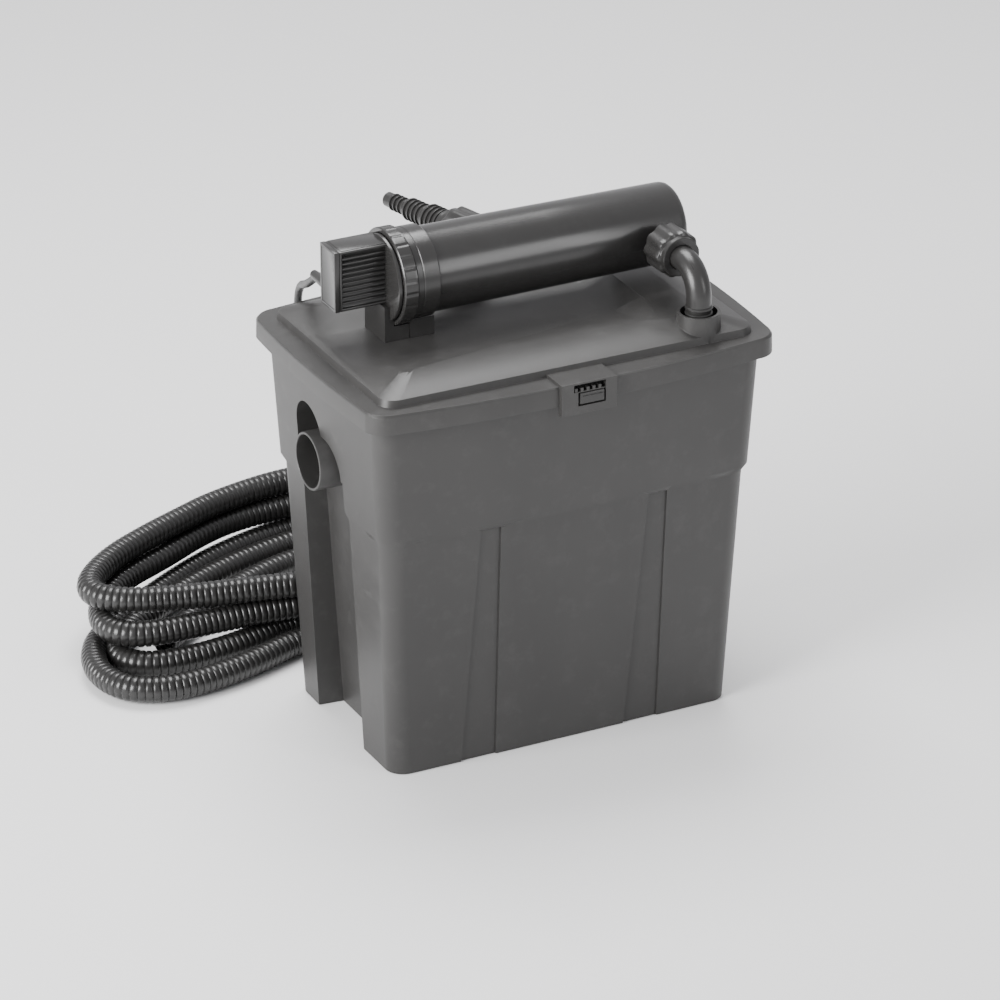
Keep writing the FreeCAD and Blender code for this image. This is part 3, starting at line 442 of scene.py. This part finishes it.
# %% [markdown]
# ## One rib of the hose
# The wall of the hose is a row of rounded ribs with a narrow groove between them. A bevelled
# curve would give a smooth tube, with the ribs only painted on. So one pitch is modelled from
# a short open cylinder that is cut across and drawn in at the groove. An Array modifier
# repeats it, and a Curve modifier bends the row along the hose's line.

# %% One rib, repeated and bent
HOSE_DIAMETER, RIB_PITCH = 0.023, 0.0058
RIB_CUTS = (0.18, 0.34, 0.72, 0.88)
GROOVE_DEPTH, SHOULDER_DEPTH = 0.0013, 0.0003


def sunk_at(share):
    """How deep the wall lies below the rib's top, at a share of the pitch."""
    if share < 0.17 or share > 0.9:
        return GROOVE_DEPTH
    if share < 0.3 or share > 0.8:
        return SHOULDER_DEPTH
    return 0.0


def make_rib():
    """One pitch of the hose wall: a rounded rib and the narrow groove after it."""
    nothing_selected()
    bpy.ops.mesh.primitive_cylinder_add(vertices=14, radius=HOSE_DIAMETER / 2, depth=RIB_PITCH,
                                        end_fill_type="NOTHING", rotation=(0, math.pi / 2, 0),
                                        location=(RIB_PITCH / 2, 0, 0))
    rib = bpy.context.object
    bpy.ops.object.transform_apply(location=True, rotation=True, scale=True)
    bpy.ops.object.mode_set(mode="EDIT")
    for cut in RIB_CUTS:
        bpy.ops.mesh.select_all(action="SELECT")
        bpy.ops.mesh.bisect(plane_co=(RIB_PITCH * cut, 0, 0), plane_no=(1, 0, 0))
    shape = bmesh.from_edit_mesh(rib.data)
    for vertex in shape.verts:
        sunk = sunk_at(vertex.co.x / RIB_PITCH)
        away = math.hypot(vertex.co.y, vertex.co.z)
        vertex.co.y *= (away - sunk) / away
        vertex.co.z *= (away - sunk) / away
    bmesh.update_edit_mesh(rib.data)
    bpy.ops.object.mode_set(mode="OBJECT")
    return rib


supply_hose = make_rib()
supply_hose.name = "supply_hose"
row = supply_hose.modifiers.new("row", "ARRAY")
row.fit_type = "FIXED_COUNT"
row.count = int(hose_length / RIB_PITCH)
row.relative_offset_displace = (1, 0, 0)
row.use_merge_vertices = True
row.merge_threshold = 0.0001
bend = supply_hose.modifiers.new("bend", "CURVE")
bend.object = hose_line
bend.deform_axis = "POS_X"
bpy.context.view_layer.objects.active = supply_hose
for modifier in ("row", "bend"):
    bpy.ops.object.modifier_apply(modifier=modifier)
supply_hose.data.materials.append(moulded("hose_ribbed_plastic", 0.015, 0.28, 0.00003, 0.2, 0.18))
bpy.ops.object.shade_smooth_by_angle(angle=math.radians(60))
nothing_selected()
bpy.data.objects.remove(hose_line)
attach(supply_hose, "tub")
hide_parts("supply_hose_coil")
print("hose of", int(hose_length / RIB_PITCH), "ribs,", len(supply_hose.data.polygons), "faces")


# %% [markdown]
# ## The mains lead
# The round rubber lead leaves the back of the lamp head, drops over the rear rim and down to
# the ground. The rest is put away there as a neat coil, with the plug beside it. The free
# stretch is points given one by one, since it hangs as it likes. The coil is regular, so a loop
# works it out.

# %% The lead's line
LEAD_DIAMETER = 0.007
LEAD_ROUTE = [
    (-150, 44, 391), (-150, 60, 391), (-146, 82, 377), (-139, 108, 363), (-133, 130, 354),
    (-129, 146, 336), (-126, 152, 304), (-122, 155, 254), (-116, 157, 196), (-109, 161, 136),
    (-99, 171, 90), (-86, 184, 48), (-68, 190, 17), (-42, 190, 5), (-10, 188.5, 4.2),
]
COIL_CENTRE, COIL_RADIUS, COIL_TURNS = Vector((-8, 235)), 40, 6
POINTS_A_TURN, COLUMN_STEP, MOST_COLUMNS = 14, 7.25, 2.3
GROUND_LAYER, LAYER_RISE = 4.2, 8.2
COIL_TO_PLUG = [(10, 190, 14.5), (22, 196, 17.5), (32, 198, 18.5)]


def coil_points():
    """Six turns, three side by side on the ground and three more on top of them."""
    points = []
    for step in range(1, POINTS_A_TURN * COIL_TURNS + 1):
        turn = step / POINTS_A_TURN
        layer = min(1.0, max(0.0, (turn - 2.7) / 0.6))
        column = turn if turn < 3 else 6 - turn
        radius = COIL_RADIUS + 6.5 - COLUMN_STEP * min(column, MOST_COLUMNS)
        angle = -math.pi / 2 + 2 * math.pi * turn
        points.append((COIL_CENTRE.x + radius * math.cos(angle), COIL_CENTRE.y + radius * math.sin(angle),
                       GROUND_LAYER + LAYER_RISE * layer))
    return points


lead_points = LEAD_ROUTE[:-1] + coil_points() + COIL_TO_PLUG
lead_line = smooth_line("mains_lead_line", lead_points, closeness=6)
lead_path = points_along(lead_line)
print("lead line", round(length_of(lead_path), 3), "m")


# %% [markdown]
# ## The lead's round tube
# The lead is plain round rubber, so a bevelled curve gives its whole shape. Its upper end is
# fixed to the lamp head, which swings with the lid, and its lower end lies on the ground. The
# tube is made once, where it lies at rest.

# %% The lead's round tube
lead_line.data.bevel_depth = LEAD_DIAMETER / 2
lead_line.data.bevel_resolution = 3
lead_line.data.use_fill_caps = True
lead_mesh = bpy.data.meshes.new_from_object(
    lead_line.evaluated_get(bpy.context.evaluated_depsgraph_get()))
bpy.data.objects.remove(lead_line)
mains_lead = bpy.data.objects.new("mains_lead_cord", lead_mesh)
bpy.context.scene.collection.objects.link(mains_lead)
lead_mesh.materials.clear()
lead_mesh.materials.append(lead_rubber)
for face in lead_mesh.polygons:
    face.use_smooth = True
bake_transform(mains_lead)
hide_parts("mains_lead", "mains_lead_coil")
print("lead tube has", len(lead_mesh.polygons), "faces")


# %% [markdown]
# ## Turning, cutting and finishing
# Four tools make most of the pieces. `turned` draws a profile point by point and spins it,
# as a lathe would. `block` starts a square piece. `finish_copy` takes a imported node's own
# surface, welds it and rounds its edges, for shapes that the frame already holds exactly.
# `stand_in` then gives each finished piece its finish and its body, and hides the node that it stands for.

# %% Shaping tools
def pick(thing):
    """Select one thing alone and make it the active one."""
    nothing_selected()
    thing.select_set(True)
    bpy.context.view_layer.objects.active = thing


def edit(thing):
    """Open a thing in edit mode with all of it selected."""
    pick(thing)
    bpy.ops.object.mode_set(mode="EDIT")
    bpy.ops.mesh.select_all(action="SELECT")


def settle(thing, smooth=32):
    """Weld, turn the faces outwards and shade a finished shape."""
    edit(thing)
    bpy.ops.mesh.remove_doubles(threshold=0.000002)
    bpy.ops.mesh.select_all(action="SELECT")
    bpy.ops.mesh.normals_make_consistent(inside=False)
    bpy.ops.object.mode_set(mode="OBJECT")
    pick(thing)
    bpy.ops.object.shade_smooth_by_angle(angle=math.radians(smooth))
    return thing


def apply_modifiers(thing):
    pick(thing)
    for modifier in list(thing.modifiers):
        bpy.ops.object.modifier_apply(modifier=modifier.name)


def round_edges(thing, width, angle=34):
    """Round every edge that is sharper than an angle in degrees, by a width in millimetres."""
    bevel = thing.modifiers.new("rounding", "BEVEL")
    bevel.width = width * MM
    bevel.segments = 2
    bevel.limit_method = "ANGLE"
    bevel.angle_limit = math.radians(angle)
    bevel.use_clamp_overlap = True
    apply_modifiers(thing)
    return settle(thing)


def stand_on(axis_start, axis_end):
    """The matrix that takes a shape made along +Z to an axis between two places (millimetres)."""
    start, end = Vector(axis_start) * MM, Vector(axis_end) * MM
    return Matrix.Translation(start) @ (end - start).to_track_quat("Z", "Y").to_matrix().to_4x4()


def turned(name, profile, matrix, steps, lobes=None):
    """Spin (distance along the axis, radius) pairs in millimetres into a round piece.

    lobes(angle, radius, along) says how far each point of it then sinks towards the axis.
    """
    nothing_selected()
    bpy.ops.mesh.primitive_plane_add(size=0.001)
    thing = bpy.context.object
    thing.name = name
    edit(thing)
    bpy.ops.mesh.merge(type="CENTER")
    along, radius = profile[0]
    bpy.ops.transform.translate(value=(radius * MM, 0, along * MM))
    for (near, small), (far, large) in zip(profile, profile[1:]):
        bpy.ops.mesh.extrude_region_move(
            TRANSFORM_OT_translate={"value": ((large - small) * MM, 0, (far - near) * MM)})
    bpy.ops.mesh.select_all(action="SELECT")
    bpy.ops.mesh.spin(steps=steps, angle=2 * math.pi, center=(0, 0, 0), axis=(0, 0, 1))
    bpy.ops.object.mode_set(mode="OBJECT")
    settle(thing)
    if lobes:
        for vertex in thing.data.vertices:
            away = math.hypot(vertex.co.x, vertex.co.y)
            sunk = lobes(math.atan2(vertex.co.y, vertex.co.x), away / MM, vertex.co.z / MM) * MM
            if away > 0 and sunk:
                vertex.co.x *= (away - sunk) / away
                vertex.co.y *= (away - sunk) / away
    thing.data.transform(matrix)
    return thing


def block(name, low, high):
    """A box between two corners in millimetres, with its place in the mesh."""
    nothing_selected()
    bpy.ops.mesh.primitive_cube_add(size=1)
    thing = bpy.context.object
    thing.name = name
    size = [(b - a) * MM for a, b in zip(low, high)]
    middle = [(a + b) / 2 * MM for a, b in zip(low, high)]
    edit(thing)
    bpy.ops.transform.resize(value=size)
    bpy.ops.transform.translate(value=middle)
    bpy.ops.object.mode_set(mode="OBJECT")
    return thing


def sink_panel(thing, outward, border, depth):
    """Leave a border on the face that looks one way, and push its middle in (millimetres)."""
    edit(thing)
    bpy.ops.mesh.select_all(action="DESELECT")
    bpy.ops.object.mode_set(mode="OBJECT")
    for face in thing.data.polygons:
        face.select = face.normal.dot(outward) > 0.9
    bpy.ops.object.mode_set(mode="EDIT")
    bpy.ops.mesh.inset(thickness=border * MM)
    bpy.ops.mesh.extrude_region_move(TRANSFORM_OT_translate={"value": tuple(outward * -depth * MM)})
    bpy.ops.object.mode_set(mode="OBJECT")


def joined(name, first, *others):
    """Several meshes as one piece."""
    nothing_selected()
    for thing in (first,) + others:
        thing.select_set(True)
    bpy.context.view_layer.objects.active = first
    bpy.ops.object.join()
    first.name = name
    return first


def finish_copy(node, name, width):
    """A welded copy of a node's surface, with flat areas cleaned and its edges rounded."""
    source = frame["nodes"][node]
    thing = bpy.data.objects.new(name, source.data.copy())
    bpy.context.scene.collection.objects.link(thing)
    thing.data.transform(source.matrix_world)
    edit(thing)
    bpy.ops.mesh.remove_doubles(threshold=0.00001)
    bpy.ops.mesh.select_all(action="SELECT")
    bpy.ops.mesh.dissolve_limited(angle_limit=math.radians(0.6), use_dissolve_boundaries=False)
    bpy.ops.object.mode_set(mode="OBJECT")
    round_edges(thing, width, angle=38)
    even = thing.modifiers.new("even", "WEIGHTED_NORMAL")
    even.keep_sharp = True
    settle(thing, 40)
    apply_modifiers(thing)
    return thing


def stand_in(thing, body, slot_name, node):
    """Give a finished piece its finish and its body, and hide the node that it stands for."""
    thing.data.materials.clear()
    thing.data.materials.append(FINISHES[slot_name])
    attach(thing, body)
    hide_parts(node)
    print(thing.name, "has", len(thing.data.polygons), "faces")


print("shaping tools ready")


# %% [markdown]
# ## The tub and the lid
# Both are large mouldings with small, even rounds on every outer edge. The rounds catch a
# thin line of light along the rim, the crown and the waist. The shells could be modelled
# again, but the frame holds them exactly. So each surface is copied and its triangles are
# dissolved into flat faces, and only then does a bevel run cleanly along the edges.

# %% Tub and lid
tub_shell = finish_copy("tub", "tub_shell", 0.9)
stand_in(tub_shell, "tub", "tub_black", "tub")
lid_shell = finish_copy("lid", "lid_shell", 0.9)
stand_in(lid_shell, "lid", "lid_black", "lid")
latch_piece = finish_copy("latch_tab", "latch_push_tab", 0.35)
stand_in(latch_piece, "latch", "fitting_black", "latch_tab")


# %% [markdown]
# ## The clarifier tube
# A lathe shape with a stepped collar at the lamp end, a faint draught along its length and a
# rounded far end. Its two nozzles are turned apart and joined to it. A boolean could fuse
# them, but their roots are hidden inside the tube, so plain joining looks the same.

# %% Clarifier tube
TUBE_AXIS = (15, 400)  # the y and z of the clarifier's axis
ELBOW_X, TAIL_X = 125, 2.8
TAIL_TURN = math.radians(14.2)


def tail_place(distance):
    """A place on the hose tail's axis, measured out from the clarifier's axis."""
    axis_y, axis_z = TUBE_AXIS
    return (TAIL_X - math.sin(TAIL_TURN) * distance, axis_y + math.cos(TAIL_TURN) * distance, axis_z)


tube_profile = [(0.2, 33.4), (0, 37.6), (0.8, 38.5), (5.2, 38.5), (5.6, 38.1), (6.4, 38.1), (6.8, 38.5),
                (20.0, 38.5), (20.8, 37.9), (21.4, 36.2), (23, 36), (130, 35), (246, 34), (249.5, 33.2),
                (252, 31), (253.4, 28), (254, 24), (254, 0)]
tube_body = turned("clarifier_body", tube_profile, stand_on((-98, *TUBE_AXIS), (156, *TUBE_AXIS)), 96)
outlet_nozzle = turned("outlet_nozzle", [(0, 15), (13.4, 15), (14, 14.4), (14, 11), (0, 11)],
                       stand_on((ELBOW_X, -30, 400), (ELBOW_X, -60, 400)), 48)
inlet_nozzle = turned("inlet_nozzle", [(0, 15.6), (8, 15), (25.4, 15), (26, 14.4), (26, 11), (0, 11)],
                      stand_on(tail_place(30), tail_place(60)), 48)
clarifier_tube = joined("clarifier_tube", tube_body, outlet_nozzle, inlet_nozzle)
stand_in(clarifier_tube, "lid", "clarifier_black", "uv_housing")


# %% [markdown]
# ## The coupling ring
# A low ring turns on the tube's collar and locks the lamp head. Its grip is a row of narrow
# grooves that stop short of both rims. Booleans could cut them one by one, but a ring spun in
# many steps already has an edge at each place, so the points there are only drawn inwards.

# %% Coupling ring with grip grooves
RING_GROOVES, RING_STEPS = 24, 240
GROOVE_SINK, GROOVE_SHARE = 0.5, 0.20


def grip(angle, radius, along):
    """A narrow groove at each of the ring's grip places, kept off its two rims."""
    share = (angle * RING_GROOVES / (2 * math.pi)) % 1.0
    in_the_band = radius > 40.0 and 1.5 < along < 11.0
    return GROOVE_SINK if in_the_band and share < GROOVE_SHARE else 0.0


ring_profile = [(0, 37.3), (0, 40.2), (0.7, 40.9), (1.6, 41), (2.2, 41), (10.2, 41), (10.8, 41),
                (11.7, 40.9), (12.4, 40.2), (12.4, 37.3), (0, 37.3)]
grip_ring = turned("coupling_grip_ring", ring_profile, stand_on((-110.7, *TUBE_AXIS), (-98, *TUBE_AXIS)),
                   RING_STEPS, grip)
stand_in(grip_ring, "ring", "clarifier_black", "coupling_ring")


# %% [markdown]
# ## The lamp head
# A square case with a recessed, finned front. The fins could be cut from the case, but they
# are thin and even, so one fin is modelled and the stack is its array. The end plate is a
# separate part with a thin dark gap behind it. The lead leaves through a gland and a tapered
# relief, both turned on the lead's own line.

# %% Lamp head
head_case = block("head_case", (-156.4, 2, 382), (-110.7, 30, 434.5))
sink_panel(head_case, Vector((0, -1, 0)), 2.4, 3.0)
round_edges(head_case, 0.8)

FIN_COUNT, FIN_PITCH = 10, 4.3
fin = block("fin", (-153.9, 2.3, 388.1), (-113.2, 5.2, 389.7))
round_edges(fin, 0.3)
stack_of_fins = fin.modifiers.new("stack", "ARRAY")
stack_of_fins.count = FIN_COUNT
stack_of_fins.use_relative_offset = False
stack_of_fins.use_constant_offset = True
stack_of_fins.constant_offset_displace = (0, 0, FIN_PITCH * MM)
apply_modifiers(fin)
flange_profile = [(0, 0), (0, 34.5), (0.6, 36.4), (1.2, 36.7), (3.4, 36.7), (4, 36), (4, 0)]
head_flange = turned("head_flange", flange_profile,
                     stand_on((-114.7, *TUBE_AXIS), (-100, *TUBE_AXIS)), 72)
peg = turned("peg", [(0, 2.4), (5.4, 2.4), (6, 1.8), (6, 0)],
             stand_on((-153.8, 29.5, 425.5), (-153.8, 40, 425.5)), 20)
cover_rib = block("cover_rib", (-154.5, 3.2, 434.3), (-114, 28.8, 435.1))
round_edges(cover_rib, 0.3)
lamp_head = joined("lamp_head_case", head_case, fin, head_flange, peg, cover_rib)
stand_in(lamp_head, "lid", "clarifier_black", "ballast_housing")

end_plate = block("head_end_plate", (-160.8, 2, 382), (-156.6, 30, 434.5))
sink_panel(end_plate, Vector((-1, 0, 0)), 2.2, 0.5)
round_edges(end_plate, 0.6)
stand_in(end_plate, "lid", "clarifier_black", "ballast_cap")

gland_profile = [(0, 0), (0, 6.4), (3.4, 6.5), (3.8, 6.0), (4.4, 6.0), (4.8, 6.4), (8.4, 6.2), (9, 5.6),
                 (14, 4.5), (14, 3.4), (9, 3.4)]
gland = turned("lead_gland", gland_profile, stand_on((-150, 30, 391), (-150, 44, 391)), 36)
relief_profile = [(0, 4.9), (3, 5.0), (8, 4.7), (14, 4.3), (20, 4.0), (24, 3.75), (24, 3.3), (0, 3.3)]
relief = turned("lead_relief", relief_profile, stand_on((-150, 42, 391), (-150, 60, 390.6)), 32)
gland = joined("lead_gland", gland, relief)
stand_in(gland, "lid", "fitting_black", "cable_gland")


# %% [markdown]
# ## Feet under the clarifier
# A foot and a clip hold the tube up on the lid. Both are small mouldings that the frame holds
# exactly, so their own surfaces are welded and their edges rounded, as on the large shells.

# %% Feet under the clarifier
for node in ("uv_foot", "uv_foot_clip"):
    foot = finish_copy(node, node + "_moulding", 0.6)
    stand_in(foot, "lid", "fitting_black", node)


# %% [markdown]
# ## Elbow
# The elbow carries the water down through the lid. A bevelled curve could make the bend, but
# its ring of points would not stay square to the flange. So one circle is drawn out straight,
# spun through a right angle and drawn down. A flange and two beads are turned and joined on.

# %% Elbow
ELBOW_RADIUS, BEND_RADIUS, ELBOW_DROP = 10.5, 25, 38.5
ELBOW_FACE = Vector((ELBOW_X, -46.2, 400))
BEND_START = Vector((ELBOW_X, -65, 400))
nothing_selected()
bpy.ops.mesh.primitive_circle_add(vertices=48, radius=ELBOW_RADIUS * MM, location=(0, 0, 0),
                                  rotation=(math.pi / 2, 0, 0))
elbow_bend = bpy.context.object
bpy.ops.object.transform_apply(location=True, rotation=True, scale=True)
edit(elbow_bend)
bpy.ops.transform.translate(value=tuple(ELBOW_FACE * MM))
bpy.ops.mesh.extrude_region_move(TRANSFORM_OT_translate={"value": tuple((BEND_START - ELBOW_FACE) * MM)})
bend_centre = BEND_START - Vector((0, 0, BEND_RADIUS))
bpy.ops.mesh.spin(steps=18, angle=-math.pi / 2, center=tuple(bend_centre * MM), axis=(1, 0, 0))
bpy.ops.mesh.extrude_region_move(TRANSFORM_OT_translate={"value": (0, 0, -ELBOW_DROP * MM)})
bpy.ops.object.mode_set(mode="OBJECT")
settle(elbow_bend, 50)
elbow_flange_profile = [(0, 8.5), (0, 14.2), (0.4, 14.5), (7.8, 14.5), (8.2, 14.1), (8.2, 10.3)]
bead_profile = [(0, 10.2), (0.3, 11.2), (0.9, 11.7), (2.1, 11.7), (2.7, 11.2), (3, 10.2)]
elbow_parts = [turned("elbow_flange", elbow_flange_profile,
                      stand_on((ELBOW_X, -46, 400), (ELBOW_X, -60, 400)), 48)]
for low in (361.0, 366.5):
    elbow_parts.append(turned("bead", bead_profile,
                              stand_on((ELBOW_X, -90, low), (ELBOW_X, -90, low + 5)), 48))
elbow_piece = joined("elbow_bend", elbow_bend, *elbow_parts)
stand_in(elbow_piece, "lid", "fitting_black", "elbow")


# %% [markdown]
# ## Union nuts
# Each nut is turned by hand, so its skirt has ten hollows for the fingers. The hollows could
# be cut with ten cylinders, but that leaves sharp seams. So a plain nut is spun first, and the
# points of its skirt then sink along a soft wave. One function serves both nuts.

# %% Union nuts
HOLLOW_COUNT, HOLLOW_DEPTH, HOLLOW_SHARPNESS = 10, 1.6, 2.2
SKIRT_RADIUS, SKIRT_END = 17.2, 24.8


def finger_hollows(angle, radius, along):
    """The soft wave round the skirt, and nothing on the neck or inside."""
    share = (angle * HOLLOW_COUNT / (2 * math.pi)) % 1.0
    if radius < SKIRT_RADIUS or along > SKIRT_END:
        return 0.0
    return HOLLOW_DEPTH * max(0.0, math.sin(math.pi * share)) ** HOLLOW_SHARPNESS


nut_profile = [(0, 15.4), (0, 18.6), (0.5, 19.6), (1.4, 20.3), (4.0, 20.3), (10, 20.3), (18, 20.3),
               (22.8, 20.2), (23.9, 19.6), (24.5, 18.4), (24.9, 17.1), (29, 16.8), (29.5, 16.2),
               (29.5, 11.2), (24.5, 11.2), (24.5, 15.4), (0, 15.4)]
for name, node, body, start, end in (
        ("elbow_union_nut", "elbow_nut", "elbow_union", (ELBOW_X, -30, 400), (ELBOW_X, -60, 400)),
        ("tail_union_nut", "tail_nut", "tail_union", tail_place(42.5), tail_place(72))):
    nut = turned(name, nut_profile, stand_on(start, end), 120, finger_hollows)
    stand_in(nut, body, "fitting_black", node)


# %% [markdown]
# ## Hose tail
# The tail steps down through three diameters, so that it takes three sizes of hose, and each
# step is a row of barbs. Every barb is the same saw tooth at another radius, so a loop writes
# them one after another into the lathe profile.

# %% Hose tail with its barbs
tail_profile = [(0, 5.5), (0, 14.2), (0.4, 14.5), (8.4, 14.5), (8.8, 14.0), (9.2, 10.3), (16, 10.3),
                (17, 12.3), (17.3, 12.5), (21.8, 12.5), (22, 12.3)]
along = 22.0
BARB_PITCH = 5.2
for radius, count in ((12.5, 4), (10.0, 5), (7.6, 4)):
    for barb in range(count):
        tail_profile += [(along + 0.3, radius - 1.5), (along + 1.2, radius - 1.5),
                         (along + 1.5, radius - 0.1), (along + 2.2, radius), (along + 5.0, radius - 1.2)]
        along += BARB_PITCH
tail_profile += [(along + 0.3, 6.4), (96.0, 6.3), (96.6, 5.9), (96.6, 5.5), (0, 5.5)]
barbed_tail = turned("barbed_hose_tail", tail_profile, stand_on(tail_place(58), tail_place(154.6)), 56)
stand_in(barbed_tail, "lid", "fitting_black", "hose_tail")


# %% [markdown]
# ## Outlet stub
# A plain pipe with a softened mouth. It is thin and seen from its open end, so it could not be
# a capped cylinder: the profile runs in along the bore, past the stop, and back outside over
# the seat that clamps the tub's wall.

# %% Outlet stub
stub_profile = [(0, 23.0), (0.4, 22.5), (31, 22.5), (31.3, 22.0), (67, 22.0), (67, 25), (46.8, 25),
                (46.8, 32), (42.8, 32), (42.8, 26), (31.8, 26), (31.0, 25.2), (30.4, 25), (0.9, 25), (0.2, 24.6),
                (0, 24.0), (0, 23.0)]
outlet_stub = turned("outlet_stub", stub_profile, stand_on((-185, 8.5, 252), (-100, 8.5, 252)), 80)
stand_in(outlet_stub, "tub", "outlet_grey", "outlet_pipe")


# %% [markdown]
# ## Foam blocks
# Reticulated foam is cut with a hot wire, which leaves a gently waved face. Each block is a
# subdivided box whose skin sinks a little where a seeded noise says so. It only sinks, so the
# block never grows out of its place in the cassette.

# %% Foams
SAME_PLACE = 1e-6


def foam_block(name, node, seed, cell, depth):
    """A waved block in a node's box: cell is the waves' closeness, and depth is in millimetres."""
    low, high = [Vector(corner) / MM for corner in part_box(node)]
    thing = block(name, low, high)
    edit(thing)
    bpy.ops.mesh.subdivide(number_cuts=36)
    bpy.ops.object.mode_set(mode="OBJECT")
    middle = (low + high) / 2 * MM
    for vertex in thing.data.vertices:
        wave = noise.noise(vertex.co * cell + Vector((seed, seed, seed)))
        fine = noise.noise(vertex.co * cell * 4 + Vector((seed, 0, seed)))
        sunk = (0.5 + 0.5 * wave) * depth * MM + max(0.0, fine) * depth * 0.8 * MM
        inward = middle - vertex.co
        for axis in range(3):
            to_skin = min(abs(vertex.co[axis] - low[axis] * MM), abs(vertex.co[axis] - high[axis] * MM))
            if to_skin < SAME_PLACE:
                vertex.co[axis] += math.copysign(sunk, inward[axis])
    settle(thing, 70)
    stand_in(thing, "tub", "foam_" + node.split("_")[0], node)


foam_block("coarse_foam_block", "coarse_foam", 3.0, 90, 1.0)
foam_block("medium_foam_block", "medium_foam", 7.0, 110, 0.8)
foam_block("fine_foam_block", "fine_foam", 11.0, 140, 0.6)
